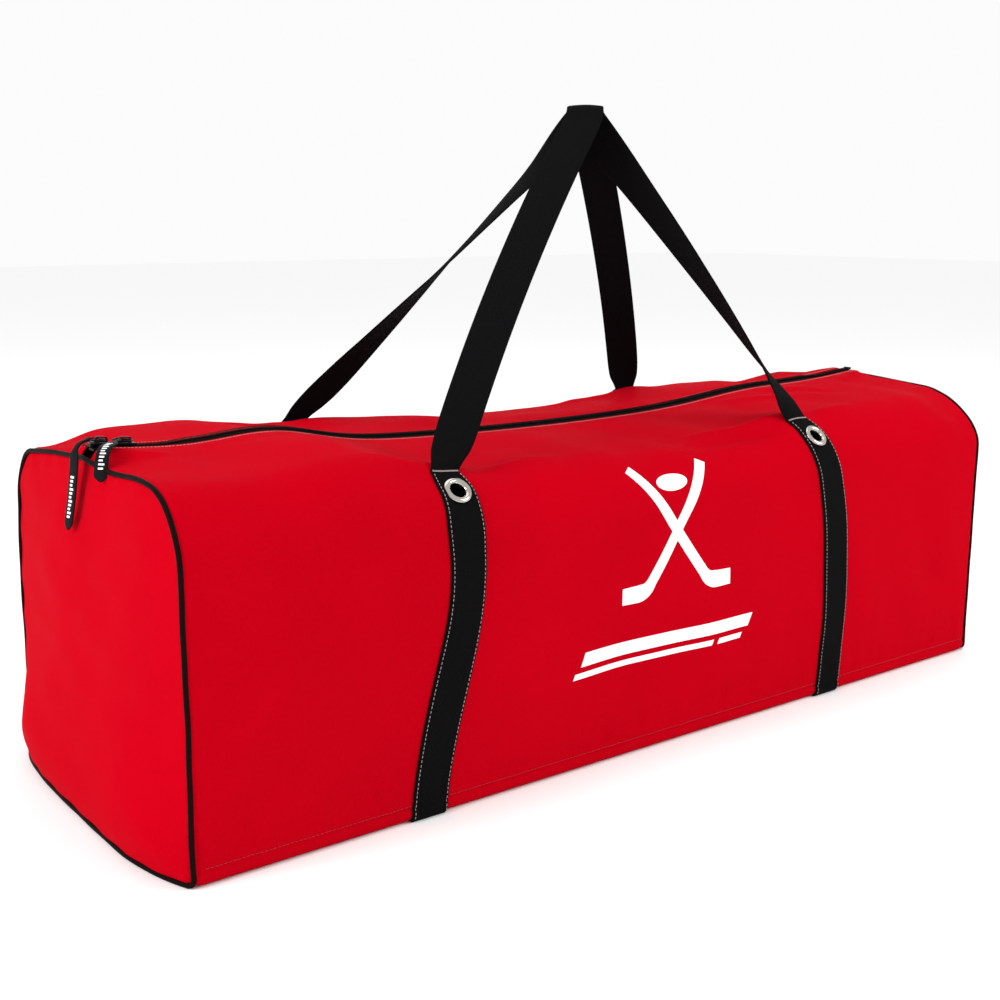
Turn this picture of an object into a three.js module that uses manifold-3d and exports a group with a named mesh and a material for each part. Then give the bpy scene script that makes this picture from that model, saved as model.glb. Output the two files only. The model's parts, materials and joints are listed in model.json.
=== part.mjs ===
// A soft equipment bag: a long zipped box of cloth with piped ends, sewn-on webbing straps,
// two raised carrying handles, four eyelets and a two-slider zip along the top.
// Millimetres, +Z up. +X runs along the bag, the front faces -Y, the left end is at -X,
// and the origin is on the floor under the middle of the bag.

import * as THREE from 'three';
import Module from 'manifold-3d';
import { mergeVertices } from 'three/addons/utils/BufferGeometryUtils.js';

const wasm = await Module();
wasm.setup();

// ---- driving dimensions ----------------------------------------------------------------

const HALF_LENGTH = 533.5;      // piping to piping is 42 in
const HALF_WIDTH = 205;
const SHOULDER_RADIUS = 60;     // the long top edges are soft and round
const BOTTOM_RADIUS = 25;
const CROWN = 10.3;             // the top rises this much from its shoulder to the zip
const FACE_BULGE = 5;           // the front and rear bow out this far
const END_BULGE = 17;           // the end panels bow out this far
const CLOTH = 2;                // cloth with its coating and seam, as one closed skin
const GAP = 0.4;                // clearance between pieces that touch

const ZIP_LOW = 319.5;          // height of the zip tape over the middle of the bag
const ZIP_TRACK_RADIUS = 5087;  // the top sags, so the zip lies on a long arc
const TAPE_REACH = 19;          // a tape runs this far from the middle line
const TAPE_THICKNESS = 1;
const CLOTH_EDGE = 12;          // the cloth stops this far from the middle line
const CLOTH_LIFT = 1.2;         // and clears the tape under it by this much there
const COIL_FROM = 1.9;
const COIL_TO = 5;
const COIL_THICKNESS = 2.3;
const ZIP_END = 525.8;

const MOUTH_HALF_LENGTH = 433;  // the top opens between the two end strips
const FLAP_HINGE_Y = 146;

const PIPING_RADIUS = 2.4;
const BINDING_WIDTH = 10;         // tape folded over a seam's edge inside the bag
const BINDING_THICKNESS = 1.4;

const WEBBING_WIDTH = 40;
const WEBBING = 2.5;
const STRAP_GAP = 0.7;           // clearance between a sewn strap and the curved cloth
const STRAP_LEAN_END = 0.75;    // a strap leans up to this share of its sewn length
const STITCH_Y = 167;           // the handles leave the bag at this distance from the middle
const FOLD_RISE = 28;           // a raised handle leg folds this far above its stitched bar

const EYELET_RADIUS = 14;
const EYELET_BORE = 7.5;
const EYELET_BARREL = 8.1;
const EYELET_HOLE = 8.5;
const EYELET_V_DROP = 25;       // distance along the cloth below the stitched bar

const HANDLE_TOP = 664;
const HANDLE_TOP_X = 54;
const HANDLE_TOP_HALF = 14;     // half of the flat run over the hook
const HANDLE_NEST = 7;          // one handle lies over the other at the top
const HANDLE_CELLS = 64;        // along a handle, fine enough that its twisted cells stay near flat

const SLIDER_LENGTH = 17;
const SLIDER_A_X = -494;
const SLIDER_B_X = -516.5;
const PULL_HEIGHT = 7.2;        // the bridge holds the pull's wire this far above the tape
const RING_LENGTH = 12;
const RING_WIDTH = 16;
const WIRE_RADIUS = 0.9;
const TAB_WIDTH = 12;
const TAB_THICKNESS = 2.6;

// ---- materials -------------------------------------------------------------------------

const material = (color, roughness, metalness = 0) =>
  new THREE.MeshStandardMaterial({ color, roughness, metalness });

const redCloth = material(0xc4061f, 0.75);
const liningCloth = material(0x8f0a1c, 0.8);
const blackWebbing = material(0x111112, 0.8);
const blackTape = material(0x18181a, 0.85);
const blackCord = material(0x0d0d0e, 0.5);
const coilPlastic = material(0x141415, 0.4);
const paintedMetal = material(0x101012, 0.35, 0.6);
const tabRubber = material(0x16161a, 0.6);
const nickel = material(0xd8d6d0, 0.2, 1);

// ---- general shapes --------------------------------------------------------------------

const smooth = THREE.MathUtils.smoothstep;

/** A flat plate of nu by nv cells whose points (u, v, t), each 0 to 1, are moved to place(u, v, t). */
function bentPlate(nu, nv, place) {
  const geometry = new THREE.BoxGeometry(1, 1, 1, nu, nv, 1);
  const position = geometry.attributes.position;
  for (let i = 0; i < position.count; i += 1) {
    const point = place(position.getX(i) + 0.5, position.getY(i) + 0.5, position.getZ(i) + 0.5);
    position.setXYZ(i, point.x, point.y, point.z);
  }
  return geometry;
}

/** A closed ring of round wire along a flat closed path; place lays a path point and an offset in space. */
function wireRing(path, radius, steps, sides, place) {
  const geometry = new THREE.TorusGeometry(1, 0.25, sides, steps);
  const position = geometry.attributes.position;
  for (let i = 0; i < position.count; i += 1) {
    const turn = Math.atan2(position.getY(i), position.getX(i)) / (2 * Math.PI);
    const along = (turn + 1) % 1;
    const outward = (Math.hypot(position.getX(i), position.getY(i)) - 1) * 4 * radius;
    const across = position.getZ(i) * 4 * radius;
    const centre = path.getPointAt(along);
    const tangent = path.getTangentAt(along);
    const point = place(centre.x + tangent.y * outward, centre.y - tangent.x * outward, across);
    position.setXYZ(i, point.x, point.y, point.z);
  }
  return geometry;
}

function closed(geometry) {
  const bare = geometry.clone();
  bare.deleteAttribute('normal');
  bare.deleteAttribute('uv');
  return mergeVertices(bare, 1e-4);
}

function toSolid(geometry) {
  const merged = closed(geometry);
  return new wasm.Manifold(new wasm.Mesh({
    numProp: 3,
    vertProperties: new Float32Array(merged.attributes.position.array),
    triVerts: new Uint32Array(merged.index.array),
  }));
}

function toGeometry(solid) {
  const mesh = solid.getMesh();
  const geometry = new THREE.BufferGeometry();
  geometry.setAttribute('position', new THREE.BufferAttribute(mesh.vertProperties, 3));
  geometry.setIndex(new THREE.BufferAttribute(mesh.triVerts, 1));
  geometry.computeVertexNormals();
  return geometry;
}

function add(group, name, geometry, finish) {
  const mesh = new THREE.Mesh(geometry, finish);
  mesh.name = name;
  group.add(mesh);
  return mesh;
}

// ---- the bag's outer surface ------------------------------------------------------------

/** Height of the zip tape's upper face at x. */
const zipHeight = (x) => ZIP_LOW + ZIP_TRACK_RADIUS - Math.sqrt(ZIP_TRACK_RADIUS ** 2 - x * x);
const edgeHeight = (x) => zipHeight(x) + CLOTH + CLOTH_LIFT;
const shoulderHeight = (x) => edgeHeight(x) - CROWN;

/** The front half of the section at x, as (y, z): bottom seam, front, shoulder, cloth edge by the zip. */
function halfSection(x) {
  const top = shoulderHeight(x);
  const path = new THREE.Path();
  path.absarc(BOTTOM_RADIUS - HALF_WIDTH, BOTTOM_RADIUS, BOTTOM_RADIUS, -Math.PI / 2, -Math.PI, true);
  path.absarc(SHOULDER_RADIUS - HALF_WIDTH, top - SHOULDER_RADIUS, SHOULDER_RADIUS, Math.PI, Math.PI / 2, true);
  path.lineTo(-CLOTH_EDGE, edgeHeight(x));
  return path;
}

const sections = new Map();

function sectionAt(x) {
  if (!sections.has(x)) sections.set(x, halfSection(x));
  return sections.get(x);
}

/** How far the front bows out at height z. */
function bulge(x, z) {
  const up = THREE.MathUtils.clamp((z - BOTTOM_RADIUS) / (zipHeight(0) - 2 * BOTTOM_RADIUS), 0, 1);
  return FACE_BULGE * Math.sin(Math.PI * up) * (1 - (x / HALF_LENGTH) ** 4);
}

/** A point of the front's outer surface, moved out by lift; v runs from the bottom seam to the zip. */
function frontPoint(x, v, lift) {
  const section = sectionAt(x);
  const spot = section.getPointAt(v);
  const tangent = section.getTangentAt(v);
  const out = lift + bulge(x, spot.y) * Math.max(tangent.y, 0);
  return new THREE.Vector3(x, spot.x - tangent.y * out, spot.y + tangent.x * out);
}

/** The share of the section's length at which the shoulder reaches the stitched bar. */
function stitchShare(x) {
  const section = sectionAt(x);
  let low = 0.5;
  let high = 1;
  for (let i = 0; i < 24; i += 1) {
    const middle = (low + high) / 2;
    if (section.getPointAt(middle).x < -STITCH_Y) low = middle;
    else high = middle;
  }
  return low;
}

/** The end's outline as (y, z), drawn in by inset. */
function endOutline(inset) {
  const top = shoulderHeight(HALF_LENGTH);
  const shoulder = SHOULDER_RADIUS - inset;
  const bottom = BOTTOM_RADIUS - inset;
  const outline = new THREE.Shape();
  outline.moveTo(0, edgeHeight(HALF_LENGTH) - inset);
  outline.absarc(SHOULDER_RADIUS - HALF_WIDTH, top - SHOULDER_RADIUS, shoulder, Math.PI / 2, Math.PI, false);
  outline.absarc(BOTTOM_RADIUS - HALF_WIDTH, BOTTOM_RADIUS, bottom, Math.PI, 1.5 * Math.PI, false);
  outline.absarc(HALF_WIDTH - BOTTOM_RADIUS, BOTTOM_RADIUS, bottom, 1.5 * Math.PI, 2 * Math.PI, false);
  outline.absarc(HALF_WIDTH - SHOULDER_RADIUS, top - SHOULDER_RADIUS, shoulder, 0, Math.PI / 2, false);
  outline.lineTo(0, edgeHeight(HALF_LENGTH) - inset);
  return outline;
}

// ---- cloth ------------------------------------------------------------------------------

const SHEET_END = HALF_LENGTH - PIPING_RADIUS - GAP;
const SHEET_COLUMNS = 12;
const SHEET_ROWS = 22;

/** The whole front cloth in one piece, from the bottom seam over the shoulder to the zip. */
function frontSheet() {
  return bentPlate(SHEET_COLUMNS, SHEET_ROWS, (u, v, t) =>
    frontPoint((2 * u - 1) * SHEET_END, v, (t - 1) * CLOTH));
}

/** A block over the mouth's half of the front cloth, drawn in by inset. */
function mouthBlock(inset) {
  const length = 2 * (MOUTH_HALF_LENGTH - inset);
  const block = new THREE.BoxGeometry(length, FLAP_HINGE_Y, 200);
  block.translate(0, inset - FLAP_HINGE_Y / 2, zipHeight(0) + 50);
  return block;
}

/** A domed end panel, its outline inside the piping. */
function endPanel() {
  const rings = [0, 0.4, 0.7, 0.9, 1];
  const profile = [];
  for (const ring of rings) profile.push(new THREE.Vector2(ring, 1));
  for (const ring of [...rings].reverse()) profile.push(new THREE.Vector2(ring, 0));
  const geometry = new THREE.LatheGeometry(profile, 40);
  const outline = endOutline(2 * PIPING_RADIUS + 2);
  const middle = zipHeight(HALF_LENGTH) / 2;
  const position = geometry.attributes.position;
  for (let i = 0; i < position.count; i += 1) {
    const ring = Math.hypot(position.getX(i), position.getZ(i));
    const turn = Math.atan2(position.getZ(i), position.getX(i)) / (2 * Math.PI);
    const edge = outline.getPointAt((turn + 1) % 1);
    const y = ring * edge.x;
    const z = middle + ring * (edge.y - middle);
    const low = 1.25 - z / middle / 4;
    const x = END_BULGE * (1 - ring ** 2) * low + position.getY(i) * CLOTH;
    position.setXYZ(i, x, y, z);
  }
  return geometry;
}

const endPiping = () =>
  wireRing(endOutline(PIPING_RADIUS), PIPING_RADIUS, 56, 5, (y, z, x) => new THREE.Vector3(x, y, z));

/** The bound seam inside an end: a flat ring standing in from the cloth's edge. */
function endBinding() {
  const inset = CLOTH + 3;
  const ring = endOutline(inset);
  ring.holes.push(endOutline(inset + BINDING_WIDTH));
  const options = { depth: BINDING_THICKNESS, bevelEnabled: false, curveSegments: 5 };
  const geometry = new THREE.ExtrudeGeometry(ring, options);
  geometry.applyMatrix4(new THREE.Matrix4().makeBasis(
    new THREE.Vector3(0, 1, 0), new THREE.Vector3(0, 0, 1), new THREE.Vector3(1, 0, 0)));
  return geometry;
}

// ---- zip --------------------------------------------------------------------------------

/** A bar along the zip's arc between two x values, across from y0 to y1 and over h0 to h1 from the tape. */
function zipBar(x0, x1, y0, y1, h0, h1, cells) {
  return bentPlate(cells, 1, (u, v, t) => {
    const angle = THREE.MathUtils.lerp(x0, x1, u) / ZIP_TRACK_RADIUS;
    const radius = ZIP_TRACK_RADIUS - THREE.MathUtils.lerp(h0, h1, t);
    const y = THREE.MathUtils.lerp(y0, y1, v);
    return new THREE.Vector3(radius * Math.sin(angle), y, ZIP_LOW + ZIP_TRACK_RADIUS - radius * Math.cos(angle));
  });
}

/** Slider body in its own frame: an I section that rides the chain, with a bridge for the pull. */
function sliderBody() {
  const half = SLIDER_LENGTH / 2;
  const outline = new THREE.Shape([
    [-6, -3.1], [6, -3.1], [6, -1.5], [1.4, -1.5], [1.4, 3.1], [7, 3.1],
    [7, 4.7], [-7, 4.7], [-7, 3.1], [-1.4, 3.1], [-1.4, -1.5], [-6, -1.5],
  ].map(([y, z]) => new THREE.Vector2(y, z)));
  const plates = new THREE.ExtrudeGeometry(outline, { depth: SLIDER_LENGTH, bevelEnabled: false });
  plates.applyMatrix4(new THREE.Matrix4().makeBasis(
    new THREE.Vector3(0, 1, 0), new THREE.Vector3(0, 0, 1), new THREE.Vector3(1, 0, 0)));
  plates.translate(-half, 0, 0);
  const arch = new THREE.Shape();
  arch.moveTo(-6, 4.4);
  arch.lineTo(-6, 7.4);
  arch.quadraticCurveTo(-5.5, 9.8, -2.5, 9.8);
  arch.lineTo(2.5, 9.8);
  arch.quadraticCurveTo(5.5, 9.8, 6, 7.4);
  arch.lineTo(6, 4.4);
  const window = new THREE.Path();
  window.moveTo(-4, 5.4);
  window.lineTo(4, 5.4);
  window.lineTo(4, 7.4);
  window.quadraticCurveTo(3.6, 8.6, 2.4, 8.6);
  window.lineTo(-2.4, 8.6);
  window.quadraticCurveTo(-3.6, 8.6, -4, 7.4);
  window.lineTo(-4, 5.4);
  arch.holes.push(window);
  const bridge = new THREE.ExtrudeGeometry(arch, { depth: 3, bevelEnabled: false, curveSegments: 4 });
  bridge.rotateX(Math.PI / 2);
  bridge.translate(0, 1.5, 0);
  return toGeometry(toSolid(plates).add(toSolid(bridge)));
}

/** The pull's wire loop, lying along -X from the pull's pivot. */
function pullRing() {
  const corner = 3;
  const halfWidth = RING_WIDTH / 2;
  const loop = new THREE.Path();
  loop.absarc(-corner, halfWidth - corner, corner, 0, Math.PI / 2, false);
  loop.absarc(corner - RING_LENGTH, halfWidth - corner, corner, Math.PI / 2, Math.PI, false);
  loop.absarc(corner - RING_LENGTH, corner - halfWidth, corner, Math.PI, 1.5 * Math.PI, false);
  loop.absarc(-corner, corner - halfWidth, corner, 1.5 * Math.PI, 2 * Math.PI, false);
  loop.lineTo(0, halfWidth - corner);
  return wireRing(loop, WIRE_RADIUS, 24, 5, (x, y, z) => new THREE.Vector3(x, y, z));
}

/** A tab along a curve: a short eye folded round the ring's wire, then a flat tongue. */
function pullTab(points) {
  const curve = new THREE.CatmullRomCurve3(points);
  const eyeRadius = 2.4;
  const tongue = bentPlate(8, 1, (u, v, t) => {
    const tangent = curve.getTangentAt(u);
    const across = new THREE.Vector3(-tangent.y, tangent.x, 0).normalize();
    const sideways = Math.abs(tangent.z) > 0.8 ? new THREE.Vector3(0, -1, 0) : across;
    const width = sideways.addScaledVector(tangent, -sideways.dot(tangent)).normalize();
    const up = new THREE.Vector3().crossVectors(tangent, width);
    return curve.getPointAt(u)
      .addScaledVector(width, (v - 0.5) * TAB_WIDTH)
      .addScaledVector(up, (t - 0.5) * TAB_THICKNESS);
  });
  const eye = new THREE.CylinderGeometry(eyeRadius, eyeRadius, TAB_WIDTH, 12);
  const hole = new THREE.CylinderGeometry(1.5, 1.5, TAB_WIDTH + 2, 12);
  const start = points[0];
  for (const part of [eye, hole]) part.translate(start.x + 1.5, start.y, start.z);
  return { tongue, eye, hole };
}

// ---- webbing ----------------------------------------------------------------------------

/** The middle of the hook's line over which both handles hang, in a long side's own frame. */
const apexOf = (topX) => new THREE.Vector3(topX, 0, HANDLE_TOP);

/** Where the middle of a strap meets its stitched bar, at the webbing's mid-thickness. */
const stitchPoint = (x) => frontPoint(x, stitchShare(x), STRAP_GAP + WEBBING / 2);

/** Where a handle leg folds: along the line from the stitched bar to the top. */
function foldPoint(x, topX) {
  const start = stitchPoint(x);
  const leg = apexOf(topX).sub(start);
  return start.addScaledVector(leg, FOLD_RISE / leg.z);
}

/** A sewn strap from the bottom seam to its bar, then the short free stub of the handle leg. */
function strap(xLow, xTop, topX) {
  const end = stitchShare(xTop);
  const start = stitchPoint(xTop);
  const rise = foldPoint(xTop, topX).sub(start).multiplyScalar(0.96);
  const out = new THREE.Vector3(0, -rise.z, rise.y).normalize();
  const sewnCells = Math.floor(end * SHEET_ROWS);
  const cells = sewnCells + 2;
  return bentPlate(cells, 1, (u, v, t) => {
    const step = Math.round(u * cells);
    const side = (v - 0.5) * WEBBING_WIDTH;
    if (step > sewnCells) {
      return start.clone()
        .addScaledVector(rise, (step - sewnCells) / 2)
        .addScaledVector(out, (t - 0.5) * WEBBING)
        .setX(start.x + rise.x * (step - sewnCells) / 2 - side);
    }
    const share = Math.min((step + 1) / SHEET_ROWS, end - 0.004);
    const x = THREE.MathUtils.lerp(xLow, xTop, smooth(step / sewnCells, 0, STRAP_LEAN_END)) - side;
    return frontPoint(x, share, STRAP_GAP + t * WEBBING);
  });
}

/** A raised handle between two fold points, its legs bowed out and turned broadside over the hook. */
function handle(xLeft, xRight, topX, nest, bows) {
  const left = foldPoint(xLeft, topX);
  const right = foldPoint(xRight, topX);
  const cornerLeft = apexOf(topX).add(new THREE.Vector3(-HANDLE_TOP_HALF - nest, 0, nest));
  const cornerRight = apexOf(topX).add(new THREE.Vector3(HANDLE_TOP_HALF + nest, 0, nest));
  const easeLeft = cornerLeft.clone().lerp(left, 0.05);
  const easeRight = cornerRight.clone().lerp(right, 0.05);
  const crest = cornerLeft.clone().lerp(cornerRight, 0.5);
  const path = new THREE.CurvePath();
  path.add(new THREE.LineCurve3(left, easeLeft));
  path.add(new THREE.QuadraticBezierCurve3(easeLeft, cornerLeft, crest));
  path.add(new THREE.QuadraticBezierCurve3(crest, cornerRight, easeRight));
  path.add(new THREE.LineCurve3(easeRight, right));
  const start = 0.004;
  return bentPlate(HANDLE_CELLS, 2, (u, v, t) => {
    const along = THREE.MathUtils.lerp(start, 1 - start, u);
    const tangent = path.getTangentAt(along);
    const depth = new THREE.Vector3(0, 1, 0).addScaledVector(tangent, -tangent.y).normalize();
    const flat = new THREE.Vector3().crossVectors(depth, tangent);
    const fromEnd = Math.min(along, 1 - along) * 2;
    const twist = -Math.PI / 2 * smooth(fromEnd, 0.1, 0.95);
    const width = flat.multiplyScalar(Math.cos(twist)).addScaledVector(depth, Math.sin(twist));
    const rootSide = new THREE.Vector3(along < 0.5 ? 1 : -1, 0, 0);
    width.lerp(rootSide, 1 - smooth(fromEnd, 0, 0.12)).normalize();
    const face = new THREE.Vector3().crossVectors(tangent, width).normalize();
    const bow = along < 0.5 ? -bows[0] : bows[1];
    const spot = path.getPointAt(along);
    spot.x += bow * 4 * fromEnd * (1 - fromEnd);
    return spot
      .addScaledVector(width, (v - 0.5) * WEBBING_WIDTH)
      .addScaledVector(face, (t - 0.5) * WEBBING);
  });
}

// ---- eyelets ----------------------------------------------------------------------------

/** The centre and outward direction of an eyelet on the strap that ends at x. */
function eyeletPlace(x) {
  const length = sectionAt(x).getLength();
  const share = stitchShare(x) - EYELET_V_DROP / length;
  const centre = frontPoint(x, share, 0);
  const out = frontPoint(x, share, 1).sub(centre).normalize();
  return { centre, turn: new THREE.Quaternion().setFromUnitVectors(new THREE.Vector3(0, 1, 0), out) };
}

const OUTER_FACE = STRAP_GAP + WEBBING + 2 * GAP;
const INNER_FACE = -CLOTH - 3;

/** Eyelet: a rounded flange outside, a barrel through the cloth and a rolled lip inside. */
function eyelet() {
  const profile = [
    [EYELET_BORE, INNER_FACE - 2.2], [9.6, INNER_FACE - 2.2], [9.8, INNER_FACE - 1.4],
    [EYELET_BARREL, INNER_FACE - 1.3], [EYELET_BARREL, OUTER_FACE], [EYELET_RADIUS, OUTER_FACE],
    [EYELET_RADIUS - 0.8, OUTER_FACE + 1], [EYELET_BORE + 2.5, OUTER_FACE + 1.8],
    [EYELET_BORE, OUTER_FACE + 0.6], [EYELET_BORE, INNER_FACE - 2.2],
  ];
  return new THREE.LatheGeometry(profile.map(([r, h]) => new THREE.Vector2(r, h)), 16);
}

function eyeletWasher() {
  const profile = [
    [EYELET_HOLE, INNER_FACE - 1], [13, INNER_FACE - 1], [13, INNER_FACE],
    [EYELET_HOLE, INNER_FACE], [EYELET_HOLE, INNER_FACE - 1],
  ];
  return new THREE.LatheGeometry(profile.map(([r, h]) => new THREE.Vector2(r, h)), 16);
}

function eyeletDrill(x) {
  const { centre, turn } = eyeletPlace(x);
  const drill = new THREE.CylinderGeometry(EYELET_HOLE, EYELET_HOLE, 24, 16);
  drill.applyQuaternion(turn);
  drill.translate(centre.x, centre.y, centre.z);
  return toSolid(drill);
}

// ---- one long side of the bag -------------------------------------------------------------

/** Front, or rear when turned: its cloth, zip half, straps, eyelets and handle. */
function longSide(side, leftName, rightName, straps, topX, nest, bows) {
  const group = new THREE.Group();
  const drills = straps.map(({ top }) => eyeletDrill(top));
  const sheet = toSolid(frontSheet());
  let panel = sheet.subtract(toSolid(mouthBlock(0)));
  for (const drill of drills) panel = panel.subtract(drill);
  const flap = sheet.intersect(toSolid(mouthBlock(GAP)));
  add(group, `${side}_panel`, toGeometry(panel), redCloth);
  add(group, `${side}_flap`, toGeometry(flap), redCloth);

  const stretches = [
    [leftName, -ZIP_END, -MOUTH_HALF_LENGTH, 2],
    ['middle', GAP - MOUTH_HALF_LENGTH, MOUTH_HALF_LENGTH - GAP, 14],
    [rightName, MOUTH_HALF_LENGTH, ZIP_END, 2],
  ];
  for (const [place, x0, x1, cells] of stretches) {
    const tape = zipBar(x0, x1, -TAPE_REACH, -COIL_FROM, -TAPE_THICKNESS, 0, cells);
    const coil = zipBar(x0, x1, -COIL_TO, -COIL_FROM, GAP, GAP + COIL_THICKNESS, cells);
    add(group, `zip_tape_${side}_${place}`, tape, blackTape);
    add(group, `zip_coil_${side}_${place}`, coil, coilPlastic);
  }

  const binding = new THREE.BoxGeometry(2 * (SHEET_END - BINDING_WIDTH - 5), BINDING_WIDTH, BINDING_THICKNESS);
  const seamBinding = add(group, `seam_binding_${side}`, binding, blackTape);
  const bindingY = BOTTOM_RADIUS + GAP + BINDING_WIDTH / 2 - HALF_WIDTH;
  seamBinding.position.set(0, bindingY, CLOTH + GAP + BINDING_THICKNESS / 2);

  straps.forEach(({ name, low, top }, index) => {
    const webbing = toSolid(strap(low, top, topX)).subtract(drills[index]);
    add(group, `strap_${side}_${name}`, toGeometry(webbing), blackWebbing);
    const { centre, turn } = eyeletPlace(top);
    for (const [label, geometry] of [['eyelet', eyelet()], ['eyelet_washer', eyeletWasher()]]) {
      const ring = add(group, `${label}_${side}_${name}`, geometry, nickel);
      ring.position.copy(centre);
      ring.quaternion.copy(turn);
    }
  });
  add(group, `${side}_handle`, handle(straps[0].top, straps[1].top, topX, nest, bows), blackWebbing);
  return group;
}

// ---- the two ends --------------------------------------------------------------------------

/** The left end: panel, piping and inside binding. The right end is the same, turned. */
function bagEnd(name) {
  const group = new THREE.Group();
  const panel = endPanel();
  panel.scale(-1, 1, 1);
  panel.index.array.reverse();
  panel.translate(CLOTH - HALF_LENGTH, 0, 0);
  add(group, `${name}_end_panel`, panel, redCloth);
  const piping = endPiping();
  piping.translate(-HALF_LENGTH, 0, 0);
  add(group, `${name}_piping`, piping, blackCord);
  const binding = endBinding();
  binding.translate(GAP - SHEET_END, 0, 0);
  add(group, `seam_binding_${name}`, binding, blackTape);
  const stop = zipBar(-ZIP_END - 3, -ZIP_END - 1, -COIL_TO, COIL_TO, GAP, 3, 1);
  add(group, `zip_stop_${name}`, stop, nickel);
  return group;
}

// ---- sliders and pulls -------------------------------------------------------------------------

/** A slider at x on the zip, turned to the arc's slope, with its pull ring and tab. */
function slider(name, x, yaw, points) {
  const angle = Math.asin(x / ZIP_TRACK_RADIUS);
  const group = new THREE.Group();
  group.position.set(x, 0, zipHeight(x));
  group.rotation.y = -angle;
  add(group, `${name}_body`, sliderBody(), paintedMetal);
  const pull = new THREE.Group();
  pull.position.z = PULL_HEIGHT;
  pull.rotation.z = yaw;
  add(pull, `${name}_pull`, pullRing(), paintedMetal);
  const { tongue, eye, hole } = pullTab(points);
  const tab = toSolid(tongue).add(toSolid(eye)).subtract(toSolid(hole));
  add(pull, `${name}_tab`, toGeometry(tab), tabRubber);
  group.add(pull);
  return group;
}

const point = (x, y, z) => new THREE.Vector3(x, y, z);
const eyeStart = -RING_LENGTH;

const tabA = [
  point(eyeStart - 1.5, 0, 0), point(eyeStart - 20, 0, -0.5), point(eyeStart - 42, 0, -1.5), point(eyeStart - 64, 0, -3),
];
const tabB = [
  point(eyeStart - 1.5, 0, 0), point(eyeStart - 7, 0, 0.5), point(eyeStart - 13, 0, -3), point(eyeStart - 14.5, 0, -12),
  point(eyeStart - 13.5, 0, -40), point(eyeStart - 13, 0, -72),
];

// ---- assembly -----------------------------------------------------------------------------

const bag = new THREE.Group();

const bottomWidth = 2 * (HALF_WIDTH - BOTTOM_RADIUS - GAP);
const bottom = add(bag, 'bottom_panel', new THREE.BoxGeometry(2 * SHEET_END, bottomWidth, CLOTH), redCloth);
bottom.position.z = CLOTH / 2;

bag.add(longSide('front', 'left', 'right', [
  { name: 'left', low: -300, top: -254 },
  { name: 'right', low: 261, top: 240 },
], HANDLE_TOP_X, 0, [13, 10]));

const rear = longSide('rear', 'right', 'left', [
  { name: 'right', low: -278, top: -272 },
  { name: 'left', low: 262, top: 230 },
], -HANDLE_TOP_X, HANDLE_NEST, [10, -3]);
rear.rotation.z = Math.PI;
bag.add(rear);

bag.add(bagEnd('left'));
const rightEnd = bagEnd('right');
rightEnd.rotation.z = Math.PI;
bag.add(rightEnd);

bag.add(slider('slider_a', SLIDER_A_X, 0.84, tabA));
bag.add(slider('slider_b', SLIDER_B_X, 0.2, tabB));

export default bag;
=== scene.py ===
"""A long soft equipment bag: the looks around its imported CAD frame, in metres.

The cloth follows the same section as the CAD solids, with seams, wrinkles and puckers on top, so every
piece that lies on the bag is laid on it with place(). World +X runs along the bag, the front faces -Y.
"""

import json
import math

import bpy
import numpy as np
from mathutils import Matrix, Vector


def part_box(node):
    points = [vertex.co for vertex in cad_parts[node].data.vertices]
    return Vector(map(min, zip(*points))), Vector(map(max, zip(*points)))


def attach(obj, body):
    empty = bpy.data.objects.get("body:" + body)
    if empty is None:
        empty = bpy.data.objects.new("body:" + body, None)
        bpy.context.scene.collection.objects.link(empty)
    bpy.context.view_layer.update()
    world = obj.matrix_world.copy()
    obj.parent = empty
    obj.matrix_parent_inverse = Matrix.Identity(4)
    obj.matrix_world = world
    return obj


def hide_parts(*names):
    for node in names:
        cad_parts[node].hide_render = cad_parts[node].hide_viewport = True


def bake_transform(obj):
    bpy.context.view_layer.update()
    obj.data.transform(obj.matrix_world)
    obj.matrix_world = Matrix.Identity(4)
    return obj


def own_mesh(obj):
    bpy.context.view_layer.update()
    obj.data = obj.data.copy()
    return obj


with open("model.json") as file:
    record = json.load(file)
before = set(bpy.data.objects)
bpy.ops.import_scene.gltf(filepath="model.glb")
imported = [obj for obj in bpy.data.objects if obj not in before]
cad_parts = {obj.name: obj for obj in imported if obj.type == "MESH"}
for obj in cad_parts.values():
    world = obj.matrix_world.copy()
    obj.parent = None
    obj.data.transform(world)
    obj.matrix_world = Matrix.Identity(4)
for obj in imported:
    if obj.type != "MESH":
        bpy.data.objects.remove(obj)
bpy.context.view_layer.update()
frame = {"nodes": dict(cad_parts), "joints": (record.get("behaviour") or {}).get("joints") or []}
JOINTS = {joint["name"]: joint for joint in frame["joints"]}

# ---- dimensions in metres, as in the CAD --------------------------------------------------

HALF_LENGTH = 0.5335
HALF_WIDTH = 0.205
SHOULDER_RADIUS = 0.060
BOTTOM_RADIUS = 0.009
CROWN = 0.0103
FACE_BULGE = 0.005
END_BULGE = 0.017
ZIP_LOW = 0.3195
ZIP_RADIUS = JOINTS["slider_a_travel"]["pos_m"][2] - ZIP_LOW
CLOTH_EDGE = 0.012
EDGE_RISE = 0.0032
MOUTH_HALF = 0.433
HINGE_Y = JOINTS["rear_flap_hinge"]["pos_m"][1]
PIPING_RADIUS = 0.0024
WEBBING_WIDTH = 0.040
WEBBING = 0.0022
STRAP_GAP = 0.0006
STITCH_Y = 0.167
SEAM_UP = 0.019               # the lower seam, measured along the cloth
EYELET_DROP = 0.025
EYELET_HOLE = 0.0092
HANDLE_X = 0.054
HANDLE_Z = 0.664
ZIP_END = 0.5258
SKIN = 0.0014                # the cloth as it shows, with its coating
FLAP_FADE_X = 0.17           # a flap's turn fades over this length at each end of the mouth
FLAP_FADE_Y = 0.05           # and over this width across its hinge
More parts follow.
